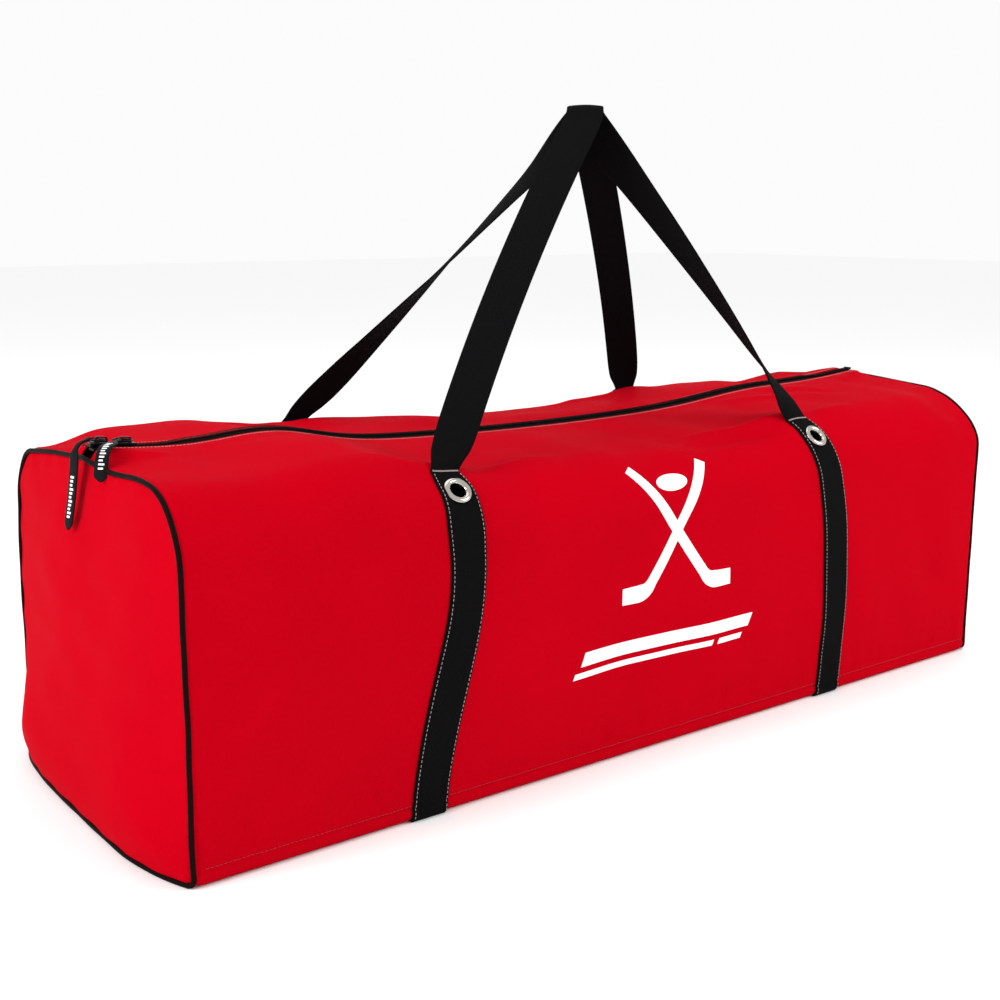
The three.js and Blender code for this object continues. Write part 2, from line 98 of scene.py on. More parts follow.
TAPE_START, TAPE_WIDTH, TAPE_THICKNESS = 0.0012, 0.0176, 0.0008
COIL_PITCH, COIL_STEPS, COIL_WIRE = 0.0024, 10, 0.00048
BINDING_WIDTH = 0.0105       # of the end bindings

FRONT, REAR = 1, -1
STRAPS = {                   # x where each strap meets the bottom seam, and x of its stitched bar
    "front_left": (FRONT, -0.300, -0.254), "front_right": (FRONT, 0.262, 0.229),
    "rear_left": (REAR, -0.262, -0.230), "rear_right": (REAR, 0.278, 0.272),
}


def smooth(value, low=0.0, high=1.0):
    t = np.clip((value - low) / (high - low), 0, 1)
    return t * t * (3 - 2 * t)


def bell(value, middle, width):
    return np.exp(-((value - middle) / width) ** 2)


def unit(vectors):
    return vectors / np.maximum(np.linalg.norm(vectors, axis=-1, keepdims=True), 1e-12)


# ---- camera and light ---------------------------------------------------------------------

def make_camera():
    data = bpy.data.cameras.new("camera")
    data.lens, data.sensor_width = 48.85, 36
    data.clip_start, data.clip_end = 0.05, 50
    camera = bpy.data.objects.new("camera", data)
    bpy.context.collection.objects.link(camera)
    camera.location = (-0.9559, -1.1886, 0.5517)
    yaw, pitch = math.radians(36.90), math.radians(11.86)
    camera.rotation_euler = (math.pi / 2 - pitch, 0, -yaw)
    bpy.context.scene.camera = camera


def area_light(name, location, target, size, power):
    data = bpy.data.lights.new(name, "AREA")
    data.shape, data.size, data.size_y, data.energy = "RECTANGLE", size[0], size[1], power
    light = bpy.data.objects.new(name, data)
    bpy.context.collection.objects.link(light)
    aim = unit(np.array(target) - np.array(location))
    light.location = location
    light.rotation_euler = (math.acos(-aim[2]), 0, math.atan2(aim[0], -aim[1]) + math.pi)


def make_studio():
    bpy.context.scene.view_settings.view_transform = "Standard"
    world = bpy.data.worlds.new("studio")
    bpy.context.scene.world = world
    world.use_nodes = True
    background = world.node_tree.nodes["Background"]
    background.inputs["Color"].default_value = (1, 1, 1, 1)
    background.inputs["Strength"].default_value = 0.97
    middle = (0, 0, 0.2)
    area_light("key", (-3.0, -0.2, 1.7), middle, (1.2, 1.4), 62)
    area_light("top", (0.2, 0.6, 2.8), middle, (2.4, 1.4), 14)
    area_light("fill", (1.5, -1.7, 1.5), (0.2, 0, 0.3), (1.0, 0.9), 26)


make_camera()
make_studio()


# ---- materials ----------------------------------------------------------------------------

class Finish:
    """A node material: add() makes a node, and sine() a wave along a UV coordinate in metres."""

    def __init__(self, name, colour, roughness, **shader):
        self.material = bpy.data.materials.new(name)
        self.material.use_nodes = True
        self.tree = self.material.node_tree
        self.shader = self.tree.nodes["Principled BSDF"]
        self.shader.inputs["Base Color"].default_value = (*colour, 1)
        self.shader.inputs["Roughness"].default_value = roughness
        for socket, value in shader.items():
            self.shader.inputs[socket.replace("_", " ")].default_value = value
        self.colour = colour

    def add(self, kind, inputs=(), **settings):
        node = self.tree.nodes.new(kind)
        for key, value in settings.items():
            setattr(node, key, value)
        for socket, value in dict(inputs).items():
            if isinstance(value, bpy.types.NodeSocket):
                self.tree.links.new(value, node.inputs[socket])
            else:
                node.inputs[socket].default_value = value
        return node.outputs[0]

    def math(self, operation, first, second=0.0, third=0.0):
        return self.add("ShaderNodeMath", {0: first, 1: second, 2: third}, operation=operation)

    def uv(self):
        coordinates = self.tree.nodes.new("ShaderNodeUVMap")
        coordinates.uv_map = "cloth"
        split = self.tree.nodes.new("ShaderNodeSeparateXYZ")
        self.tree.links.new(coordinates.outputs["UV"], split.inputs[0])
        return split.outputs[0], split.outputs[1]

    def sine(self, coordinate, pitch):
        return self.math("SINE", self.math("MULTIPLY", coordinate, 2 * math.pi / pitch))

    def noise(self, scale, detail):
        position = self.tree.nodes.new("ShaderNodeTexCoord").outputs["Object"]
        return self.add("ShaderNodeTexNoise", {
            "Vector": position, "Scale": scale, "Detail": detail, "Roughness": 0.55})

    def spread(self, value, low, high, to_low, to_high):
        return self.add("ShaderNodeMapRange", {
            "Value": value, "From Min": low, "From Max": high, "To Min": to_low, "To Max": to_high})

    def bump(self, height, distance, strength, normal=None):
        inputs = {"Height": height, "Distance": distance, "Strength": strength}
        if normal:
            inputs["Normal"] = normal
        return self.add("ShaderNodeBump", inputs)

    def shade(self, factor, darker, lighter):
        """Base colour between two multiples of the finish's own colour."""
        low = [min(c * darker, 1) for c in self.colour] + [1]
        high = [min(c * lighter, 1) for c in self.colour] + [1]
        mix = self.tree.nodes.new("ShaderNodeMix")
        mix.data_type = "RGBA"
        self.tree.links.new(factor, mix.inputs["Factor"])
        mix.inputs["A"].default_value, mix.inputs["B"].default_value = low, high
        self.tree.links.new(mix.outputs["Result"], self.shader.inputs["Base Color"])

    def connect(self, **sockets):
        for socket, value in sockets.items():
            self.tree.links.new(value, self.shader.inputs[socket])
        return self.material


def plain_weave(name, colour, pitch, depth, **shader):
    """Coated cloth in a fine plain weave: threads over and under, slubs and soft handling marks."""
    f = Finish(name, colour, 0.6, **shader)
    u, v = f.uv()
    warp, weft = f.sine(u, pitch), f.sine(v, pitch)
    check = f.math("MULTIPLY", f.sine(u, 2 * pitch), f.sine(v, 2 * pitch))
    over = f.math("MULTIPLY_ADD", check, 0.5, 0.5)
    height = f.math("ADD", f.math("MULTIPLY", f.math("ABSOLUTE", warp), over),
                    f.math("MULTIPLY", f.math("ABSOLUTE", weft), f.math("SUBTRACT", 1.0, over)))
    slub = f.noise(420, 2)
    marks = f.noise(9, 4)
    uneven = f.math("ADD", f.math("MULTIPLY", slub, 0.35), f.math("MULTIPLY", marks, 0.3))
    tone = f.math("ADD", f.math("MULTIPLY", height, 0.35), uneven)
    f.shade(f.spread(tone, 0.2, 0.8, 0, 1), 0.84, 1.14)
    soft = f.bump(f.noise(55, 3), 0.0006, 0.5)
    threads = f.math("ADD", height, f.math("MULTIPLY", slub, 0.4))
    return f.connect(Roughness=f.spread(marks, 0.3, 0.7, 0.52, 0.64),
                     Normal=f.bump(threads, depth, 0.7, soft))


def ribbed_webbing(name, colour, **shader):
    """Flat woven webbing: a fine herringbone of raised threads with fuzz."""
    f = Finish(name, colour, 0.75, **shader)
    u, v = f.uv()
    fold = f.math("PINGPONG", v, 0.006)
    twill = f.sine(f.math("ADD", u, fold), 0.0019)
    rows = f.sine(v, 0.0012)
    height = f.math("ADD", f.math("MULTIPLY", twill, 0.6), f.math("MULTIPLY", rows, 0.4))
    fuzz = f.noise(900, 2)
    f.shade(f.spread(f.math("ADD", f.math("MULTIPLY", height, 0.3), fuzz), 0.2, 1.0, 0, 1), 0.6, 1.7)
    threads = f.math("ADD", height, f.math("MULTIPLY", fuzz, 0.6))
    return f.connect(Roughness=f.spread(fuzz, 0.3, 0.7, 0.68, 0.85), Normal=f.bump(threads, 0.0004, 0.8))


def woven_tape(name, colour, pitch):
    f = Finish(name, colour, 0.8, Specular_IOR_Level=0.02)
    u, v = f.uv()
    height = f.math("MULTIPLY", f.sine(u, pitch), f.sine(v, pitch))
    fuzz = f.noise(700, 2)
    f.shade(f.spread(fuzz, 0.3, 0.7, 0, 1), 0.6, 1.5)
    return f.connect(Normal=f.bump(f.math("ADD", height, fuzz), 0.0002, 0.8))


def solid(name, colour, roughness, scale, depth, variation=0.15, **shader):
    """Metal, plastic, rubber, thread or ink: a slightly uneven surface of one stuff."""
    f = Finish(name, colour, roughness, **shader)
    grain = f.noise(scale, 3)
    f.shade(f.spread(grain, 0.3, 0.7, 0, 1), 1 - variation, 1 + variation)
    rough = f.spread(f.noise(scale * 0.4, 4), 0.3, 0.7, roughness * 0.8, min(1, roughness * 1.25))
    return f.connect(Roughness=rough, Normal=f.bump(grain, depth, 0.5))


RED = plain_weave("red_cloth", (0.43, 0.0003, 0.0065), 0.0009, 0.00012, Sheen_Weight=0.035,
                  Sheen_Roughness=0.4, Sheen_Tint=(0.9, 0.10, 0.16, 1), Specular_IOR_Level=0.002)
WEB = ribbed_webbing("webbing", (0.0040, 0.0040, 0.0044), Specular_IOR_Level=0.02)
TAPE = woven_tape("zip_tape", (0.006, 0.0045, 0.005), 0.0010)
BINDING = woven_tape("binding_tape", (0.016, 0.016, 0.018), 0.0014)
COIL = solid("zip_coil", (0.005, 0.004, 0.004), 0.42, 300, 0.0001, Specular_IOR_Level=0.02)
CORD = solid("piping", (0.007, 0.0025, 0.0025), 0.5, 900, 0.0003, Specular_IOR_Level=0.02)
METAL = solid("black_metal", (0.008, 0.008, 0.009), 0.30, 250, 0.0001, Specular_IOR_Level=0.06)
RUBBER = solid("pull_tab", (0.006, 0.006, 0.007), 0.45, 400, 0.0002, Specular_IOR_Level=0.03)
NICKEL = solid("nickel", (0.46, 0.43, 0.39), 0.17, 60, 0.00005, 0.08, Metallic=1.0)
THREAD = solid("grey_thread", (0.36, 0.31, 0.30), 0.7, 1500, 0.0003, 0.2, Specular_IOR_Level=0.2)
RED_THREAD = solid("red_thread", (0.33, 0.001, 0.006), 0.65, 1500, 0.0003, 0.2)
INK = solid("white_print", (0.86, 0.86, 0.87), 0.5, 500, 0.0001, 0.04)


# ---- meshes -------------------------------------------------------------------------------

def mesh_piece(name, points, faces, material, uv=None, sharp=40):
    """A smooth-shaded piece, turned right side out, with UVs in metres."""
    points, faces = np.asarray(points, float), [tuple(int(i) for i in f) for f in faces]
    first = np.array([f[:3] for f in faces])
    a, b, c = (points[first[:, i]] for i in range(3))
    if (np.cross(a, b) * c).sum() < 0:
        faces = [f[::-1] for f in faces]
    mesh = bpy.data.meshes.new(name)
    mesh.from_pydata(points.tolist(), [], faces)
    mesh.materials.append(material)
    mesh.polygons.foreach_set("use_smooth", np.ones(len(faces), bool))
    mesh.set_sharp_from_angle(angle=math.radians(sharp))
    if uv is not None:
        layer = mesh.uv_layers.new(name="cloth")
        corner = np.zeros(len(mesh.loops), np.int32)
        mesh.loops.foreach_get("vertex_index", corner)
        layer.data.foreach_set("uv", np.asarray(uv, np.float32)[corner].ravel())
    piece = bpy.data.objects.new(name, mesh)
    bpy.context.collection.objects.link(piece)
    return piece


def slab_mesh(top, bottom, keep=None, ring=False):
    """Vertices and faces of a closed sheet between two grids of points; keep says which cells stay."""
    nu, nv = top.shape[:2]
    index = np.arange(nu * nv).reshape(nu, nv)
    if ring:
        index = np.vstack([index, index[:1]])
    rows, columns = index.shape[0] - 1, nv - 1
    keep = np.ones((rows, columns), bool) if keep is None else keep
    a, b, c, d = index[:-1, :-1], index[1:, :-1], index[1:, 1:], index[:-1, 1:]
    under = nu * nv
    faces = [np.stack([a, b, c, d], -1)[keep], np.stack([d, c, b, a], -1)[keep] + under]
    edge = np.zeros((rows + 2, columns + 2), bool)
    edge[1:-1, 1:-1] = keep
    if ring:
        edge[0, 1:-1], edge[-1, 1:-1] = keep[-1], keep[0]
    sides = [(d, a, edge[:-2, 1:-1]), (b, c, edge[2:, 1:-1]),
             (a, b, edge[1:-1, :-2]), (c, d, edge[1:-1, 2:])]
    for p, q, beyond in sides:
        wall = keep & ~beyond
        faces.append(np.stack([q, p, p + under, q + under], -1)[wall])
    points = np.vstack([top.reshape(-1, 3), bottom.reshape(-1, 3)])
    faces = np.vstack(faces)
    used, faces = np.unique(faces, return_inverse=True)
    return points[used], faces.reshape(-1, 4), used % under


def slab(name, top, bottom, material, uv, keep=None, ring=False):
    points, faces, source = slab_mesh(top, bottom, keep, ring)
    piece = mesh_piece(name, points, faces, material, uv.reshape(-1, 2)[source])
    return piece, source


def tube_faces(count, sides, closed=False):
    """Faces of a tube of count rings of points, capped at both ends unless it is closed on itself."""
    index = np.arange(count * sides).reshape(count, sides)
    rows = np.vstack([index, index[:1]]) if closed else index
    a, b = rows[:-1], rows[1:]
    faces = np.stack([a, np.roll(a, -1, 1), np.roll(b, -1, 1), b], -1).reshape(-1, 4).tolist()
    return faces if closed else faces + [index[0][::-1].tolist(), index[-1].tolist()]


def tube_mesh(path, across, up, radius, sides, closed=False):
    """A round tube along a path; across and up span its section."""
    turn = np.arange(sides) * 2 * np.pi / sides
    ring = (np.cos(turn)[:, None] * across[:, None] + np.sin(turn)[:, None] * up[:, None]) * radius
    return (path[:, None] + ring).reshape(-1, 3), tube_faces(len(path), sides, closed)


def join(parts):
    """One mesh from several (points, faces)."""
    points, faces, start = [], [], 0
    for part_points, part_faces in parts:
        points.append(part_points)
        faces += [[i + start for i in f] for f in part_faces]
        start += len(part_points)
    return np.vstack(points), faces


def polyline_length(points):
    return np.linalg.norm(np.diff(points, axis=0), axis=1).sum()


def along(points, distances, values=None):
    """The points of a polyline at distances along it, or there the values given at its corners."""
    step = np.linalg.norm(np.diff(points, axis=0), axis=1)
    at = np.concatenate([[0], np.cumsum(step)])
    data = points if values is None else values
    return np.stack([np.interp(distances, at, column) for column in data.T], -1)


def soften(points, reach, width):
    """A line of points smoothed along its length, with both ends held."""
    weights = np.exp(-0.5 * (np.arange(-reach, reach + 1) / width) ** 2)
    weights /= weights.sum()
    before, after = 2 * points[0] - points[reach:0:-1], 2 * points[-1] - points[-2:-reach - 2:-1]
    padded = np.vstack([before, points, after])
    return np.stack([np.convolve(column, weights, "valid") for column in padded.T], -1)


def stitches(points, normals, pitch, length, radius, seed):
    """A row of thread stitches that dip into the cloth at both ends."""
    total = polyline_length(points)
    count = int(total / pitch)
    rng = np.random.default_rng(seed)
    centres = (np.arange(count) + 0.5) * total / count + rng.uniform(-0.08, 0.08, count) * pitch
    # Along the stitch in lengths, up from the cloth in radii, and thickness in radii.
    shape = np.array([[-0.5, -0.6, 0.45], [-0.3, 0.35, 1], [0, 0.6, 1.05], [0.3, 0.35, 1], [0.5, -0.6, 0.45]])
    sides = np.arange(6) * np.pi / 3
    faces = tube_faces(len(shape), len(sides))
    parts = []
    for centre in centres:
        where = centre + shape[:, 0] * length
        spots, ups = along(points, where), unit(along(points, where, normals))
        ahead = unit(spots[-1:] - spots[:1])
        across = unit(np.cross(ahead, ups))
        spots = spots + ups * (shape[:, 1:2] * radius)
        ring = (np.cos(sides)[None, :, None] * across[:, None] + np.sin(sides)[None, :, None] * ups[:, None])
        grid = (spots[:, None] + ring * (shape[:, 2] * radius)[:, None, None]).reshape(-1, 3)
        parts.append((grid, faces))
    return join(parts)


def give(piece, slot, *nodes, body="root"):
    """Rides a piece on its body and hides the CAD nodes it stands for; slot is not used."""
    if body:
        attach(piece, body)
    if nodes:
        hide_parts(*nodes)
    return piece


def blend_by(piece, shares):
    mesh = piece.data
    rest = np.zeros(len(mesh.vertices) * 3, np.float32)
    mesh.vertices.foreach_get("co", rest)
    line = np.zeros((len(mesh.vertices), 3), np.float32)
    line[:, 0] = shares
    mesh.vertices.foreach_set("co", line.ravel())
    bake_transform(piece)
    mesh.vertices.foreach_set("co", rest)
    mesh.update()


# ---- the bag's surface --------------------------------------------------------------------

def zip_z(x):
    return ZIP_LOW + ZIP_RADIUS - np.sqrt(ZIP_RADIUS ** 2 - x * x)


def section(x, v):
    """y, z and outward normal of the front half section at share v of its length, and that length."""
    x, v = np.broadcast_arrays(np.asarray(x, float), np.asarray(v, float))
    edge = zip_z(x) + EDGE_RISE
    top = edge - CROWN
    low_arc, high_arc = BOTTOM_RADIUS * math.pi / 2, SHOULDER_RADIUS * math.pi / 2
    wall = top - SHOULDER_RADIUS - BOTTOM_RADIUS
    reach = HALF_WIDTH - SHOULDER_RADIUS - CLOTH_EDGE
    roof = math.hypot(reach, CROWN)
    total = low_arc + wall + high_arc + roof
    s = v * total
    low = -np.pi / 2 - np.clip(s / BOTTOM_RADIUS, 0, np.pi / 2)
    up = np.clip(s - low_arc, 0, wall)
    high = np.pi - np.clip((s - low_arc - wall) / SHOULDER_RADIUS, 0, np.pi / 2)
    over = np.clip((s - low_arc - wall - high_arc) / roof, None, 1.2)
    parts = [s < low_arc, s < low_arc + wall, s < low_arc + wall + high_arc]
    y = np.select(parts, [
        BOTTOM_RADIUS - HALF_WIDTH + BOTTOM_RADIUS * np.cos(low), np.full_like(s, -HALF_WIDTH),
        SHOULDER_RADIUS - HALF_WIDTH + SHOULDER_RADIUS * np.cos(high)],
        SHOULDER_RADIUS - HALF_WIDTH + over * reach)
    z = np.select(parts, [
        BOTTOM_RADIUS + BOTTOM_RADIUS * np.sin(low), BOTTOM_RADIUS + up,
        top - SHOULDER_RADIUS + SHOULDER_RADIUS * np.sin(high)], top + over * CROWN)
    ny = np.select(parts, [np.cos(low), np.full_like(s, -1.0), np.cos(high)], -CROWN / roof)
    nz = np.select(parts, [np.sin(low), np.zeros_like(s), np.sin(high)], reach / roof)
    return y, z, ny, nz, total


def waves(a, b, size, seed, count=6):
    """Smooth random undulation about as high as 1, from waves of about that size."""
    rng = np.random.default_rng(seed)
    total = 0
    for _ in range(count):
        angle, phase, scale = rng.uniform(0, 2 * np.pi), rng.uniform(0, 2 * np.pi), rng.uniform(0.7, 1.5)
        total = total + np.sin(2 * np.pi * scale / size * (a * np.cos(angle) + b * np.sin(angle)) + phase)
    return total / count ** 0.5


def crease(x, h, start, end, width, depth):
    """A soft fold along a line on the cloth, fading at both ends; a depth above 0 is a ridge."""
    start, end = np.array(start), np.array(end)
    d = end - start
    t = ((x - start[0]) * d[0] + (h - start[1]) * d[1]) / (d @ d)
    away = np.hypot(x - start[0] - t * d[0], h - start[1] - t * d[1])
    fade = smooth(t, -0.05, 0.3) * (1 - smooth(t, 0.6, 1.1))
    return depth * fade * bell(away, 0, width)


# Where a raised handle lifts the cloth: x, distance up the cloth, radius and height.
TENTS = {
    FRONT: [(0.222, 0.349, 0.040, 0.0080), (-0.250, 0.347, 0.032, 0.0020)],
    REAR: [(0.272, 0.347, 0.036, 0.0040), (-0.230, 0.347, 0.036, 0.0040)],
}

# Folds of the cloth: (x, distance up the cloth) at both ends, width and height.
FOLDS = {
    FRONT: [
        ((0.232, 0.343), (0.085, 0.363), 0.007, 0.0030), ((0.225, 0.329), (0.060, 0.336), 0.010, -0.0032),
        ((0.262, 0.341), (0.345, 0.353), 0.008, 0.0018), ((-0.236, 0.343), (-0.335, 0.357), 0.009, 0.0022),
        ((-0.232, 0.329), (-0.350, 0.321), 0.014, -0.0022), ((-0.205, 0.341), (-0.105, 0.353), 0.009, 0.0018),
        ((-0.240, 0.291), (-0.330, 0.246), 0.016, -0.0018), ((0.230, 0.461), (0.330, 0.421), 0.010, 0.0020),
        ((0.300, 0.466), (0.405, 0.406), 0.013, -0.0022), ((-0.520, 0.051), (-0.400, 0.096), 0.020, -0.0026),
        ((-0.500, 0.101), (-0.425, 0.191), 0.018, 0.0020), ((-0.395, 0.031), (-0.335, 0.101), 0.015, -0.0016),
        ((0.505, 0.321), (0.405, 0.291), 0.014, 0.0018), ((0.515, 0.081), (0.420, 0.141), 0.018, -0.0020),
        ((0.030, 0.036), (0.170, 0.051), 0.012, -0.0012), ((-0.160, 0.041), (-0.060, 0.076), 0.013, 0.0012),
    ],
    REAR: [
        ((0.238, 0.343), (0.120, 0.363), 0.009, 0.0026), ((-0.238, 0.343), (-0.340, 0.359), 0.009, 0.0026),
        ((0.245, 0.326), (0.350, 0.316), 0.013, -0.0024), ((-0.225, 0.331), (-0.100, 0.321), 0.014, -0.0022),
        ((0.500, 0.061), (0.390, 0.121), 0.018, -0.0024), ((-0.505, 0.091), (-0.410, 0.171), 0.018, 0.0020),
    ],
}


def rear_top(x):
    """How much higher the top of the rear lies than the top of the front."""
    bumps = 0.0015 * bell(x, -0.425, 0.07) - 0.0085 * bell(x, -0.30, 0.06) + 0.0085 * bell(x, -0.13, 0.08)
    return bumps - 0.010 * smooth(x, 0.22, 0.40) * (1 - smooth(x, 0.45, 0.53))


def relief(side, x, h, total):
    """How far the cloth stands out from its smooth section: puckers at seams, folds and soft dents."""
    seed = 10 if side == FRONT else 50
    from_end = HALF_LENGTH - np.abs(x)
    from_zip = total - h
    inside = smooth(from_end, 0.0, 0.09) * smooth(h, 0.02, 0.10) * smooth(from_zip, 0.0, 0.05)
    out = inside * (0.0022 * waves(x, h, 0.30, seed) + 0.0011 * waves(x, h, 0.12, seed + 1))
    pucker = waves(h, h * 0, 0.034, seed + 2) * np.exp(-from_end / 0.016)
    out = out + 0.0009 * pucker * smooth(from_end, 0.001, 0.007) * smooth(h, 0.01, 0.06)
    pull = waves(x, x * 0, 0.040, seed + 3)
    out = out + 0.0007 * pull * np.exp(-from_zip / 0.020) * smooth(from_zip, 0.003, 0.010)
    hem = waves(x, x * 0, 0.030, seed + 4)
    out = out + 0.0008 * hem * bell(h, 0.040, 0.020)
    out = out - 0.0011 * bell(h, SEAM_UP, 0.0016) + 0.0006 * bell(h, SEAM_UP - 0.005, 0.004)
    for start, end, width, depth in FOLDS[side]:
        out = out + 1.5 * crease(x, h, start, end, width, depth)
    for middle, up, radius, height in TENTS[side]:
        out = out + height * np.exp(-((x - middle) ** 2 + (h - up) ** 2) / radius ** 2)
    out = out - 0.0016 * (1 - smooth(from_end, 0.0015, 0.006))
    on_top = smooth(h, 0.27, 0.35)
    out = out + 0.0035 * bell(np.abs(x), 0.34, 0.10) * smooth(from_zip, 0.012, 0.06) * on_top
    if side == REAR:
        out = out + rear_top(x) * smooth(from_zip, 0.012, 0.07) * on_top
    out = out - 0.0012 * (1 - smooth(from_zip, 0.004, 0.020))
    out = out - 0.0004 * (1 - smooth(from_zip, 0.0005, 0.003))
    return out - 0.0007 * bell(from_zip, 0.0045, 0.0012)


def lift_top(x, z):
    """The top dips more in its middle than the zip's plain arc: it rises by this much either side."""
    rise = 0.0135 * bell(x, -0.350, 0.070) + 0.0065 * bell(x, 0.31, 0.10)
    return rise * smooth(z, 0.22, 0.32)


def end_bow(y, z):
    """How far an end bows out along its bottom seam, between its two corners."""
    return 0.026 * (1 - (y / HALF_WIDTH) ** 4) * (1 - smooth(z, 0.0, 0.15))


def slump(x, y, z):
    """How far the top sinks towards its end seams, most at the shoulders of the right end."""
    off_zip = smooth(np.abs(y), 0.018, 0.055)
    near_end = smooth(np.abs(x), 0.521 - np.where(x < 0, 0.062, 0.100) * off_zip, HALF_LENGTH)
    middle = 0.0105 * (1 - 0.85 * smooth(-y, 0.05, 0.14))
    left = middle + 0.003 * smooth(y, 0.07, 0.17)
    right = 0.006 + 0.004 * smooth(y, 0.02, 0.09) + 0.009 * smooth(y, 0.12, 0.18)
    right = right + 0.013 * smooth(-y, 0.12, 0.185)
    return near_end * smooth(z, 0.22, 0.33) * np.where(x < 0, left, right)


def tuck(x, y, z):
    """How far the rear shoulder of the left end is drawn in towards the middle of the bag."""
    return 0.014 * smooth(-x, 0.43, HALF_LENGTH) * smooth(y, 0.10, 0.20) * smooth(z, 0.17, 0.29)


def place(side, x, v, lift=0.0):
    """Points on the bag's cloth, lift above it, and the outward normals there."""
    y, z, ny, nz, total = section(x, v)
    x = np.broadcast_to(x, y.shape)
    height = np.clip((z - BOTTOM_RADIUS) / (ZIP_LOW - 2 * BOTTOM_RADIUS), 0, 1)
    bulge = FACE_BULGE * np.sin(np.pi * height) * (1 - (x / HALF_LENGTH) ** 4) * np.maximum(-ny, 0)
    out = lift + bulge + relief(side, x, v * total, total)
    points = np.stack([x, side * (y + ny * out), z + nz * out], -1)
    inward = tuck(*np.moveaxis(points, -1, 0))
    points[..., 2] += lift_top(points[..., 0], points[..., 2]) - slump(*np.moveaxis(points, -1, 0))
    points[..., 1] -= inward
    normals = np.stack([np.zeros_like(y), side * ny, nz], -1)
    return points, normals


def share_at(x, distance):
    """The share of the section's length that is distance above the bottom seam."""
    return distance / section(x, 0.0)[4]


def bar_share(x):
    """The share at which the shoulder reaches a strap's stitched bar."""
    shares = np.linspace(0.5, 1, 4001)
    return shares[np.searchsorted(section(x, shares)[0], -STITCH_Y)]


def strap_line(name, v):
    """The middle of a strap; the front right one leans only near its top."""
    _, low, top = STRAPS[name]
    t = v / bar_share(top)
    return low + (top - low) * (t ** 4 if name == "front_right" else smooth(t, 0, 0.75))


# ---- cloth --------------------------------------------------------------------------------

def opening_share(x, y):
    """The share of its flap's turn that a point takes: all in the mouth's middle, none past its ends."""
    lens = np.clip((MOUTH_HALF - np.abs(x)) / FLAP_FADE_X, 0, 1)
    return lens * np.clip((HINGE_Y + 0.022 - np.abs(y)) / FLAP_FADE_Y, 0, 1)


def eyelet_centre(name):
    side, _, x = STRAPS[name]
    v = bar_share(x) - EYELET_DROP / section(x, 0.0)[4]
    return side, float(strap_line(name, v)), v


def holes(side, x, v):
    """Which cells of a grid on one side of the bag stay clear of its eyelets."""
    keep = np.ones(x.shape, bool)
    total = section(x, v)[4]
    for name in STRAPS:
        owner, cx, cv = eyelet_centre(name)
        if owner == side:
            keep &= np.hypot(x - cx, (v - cv) * total) > EYELET_HOLE
    return keep


def body_sheet(side, name):
    """A panel with its flap: one cloth from the bottom seam up over the shoulder to the zip."""
    columns = np.concatenate([
        np.linspace(-1, -0.985, 8), np.linspace(-0.98, 0.98, 400), np.linspace(0.985, 1, 8)])
    rows = np.concatenate([np.linspace(0, 0.975, 225), np.linspace(0.98, 1, 12)])
    x, v = np.meshgrid(columns * (HALF_LENGTH - 0.0012), rows, indexing="ij")
    top, _ = place(side, x, v)
    bottom, _ = place(side, x, v, -SKIN)
    uv = np.stack([x, v * section(x, v)[4]], -1)
    middle_x, middle_v = (x[1:, 1:] + x[:-1, 1:]) / 2, (v[1:, 1:] + v[1:, :-1]) / 2
    piece, source = slab(f"{name}_cloth", top, bottom, RED, uv, holes(side, middle_x, middle_v))
    blend_by(piece, opening_share(x, top[..., 1]).ravel()[source])
    give(piece, "red_cloth", f"{name}_panel", f"{name}_flap", body=None)


body_sheet(FRONT, "front")
body_sheet(REAR, "rear")


def end_outline(sign, inset, count):
    """The end's outline as (y, z), evenly spaced from the top middle towards -Y, drawn in by inset."""
    edge = zip_z(HALF_LENGTH) + EDGE_RISE
    top = edge - CROWN
    shoulder, bottom = SHOULDER_RADIUS - inset, BOTTOM_RADIUS - inset

    def arc(cy, cz, r, start, end):
        return [(cy + r * math.cos(t), cz + r * math.sin(t)) for t in np.linspace(start, end, 24)]

    half = [(0, edge - inset)]
    half += arc(SHOULDER_RADIUS - HALF_WIDTH, top - SHOULDER_RADIUS, shoulder, math.pi / 2, math.pi)
    half += arc(BOTTOM_RADIUS - HALF_WIDTH, BOTTOM_RADIUS, bottom, math.pi, 1.5 * math.pi)
    loop = np.array(half + [(-y, z) for y, z in half[::-1]])
    outline = along(loop, np.linspace(0, polyline_length(loop), count, endpoint=False))
    inward = tuck(sign * HALF_LENGTH, outline[:, 0], outline[:, 1])
    outline[:, 1] -= slump(sign * HALF_LENGTH, outline[:, 0], outline[:, 1])
    outline[:, 0] -= inward
    return outline


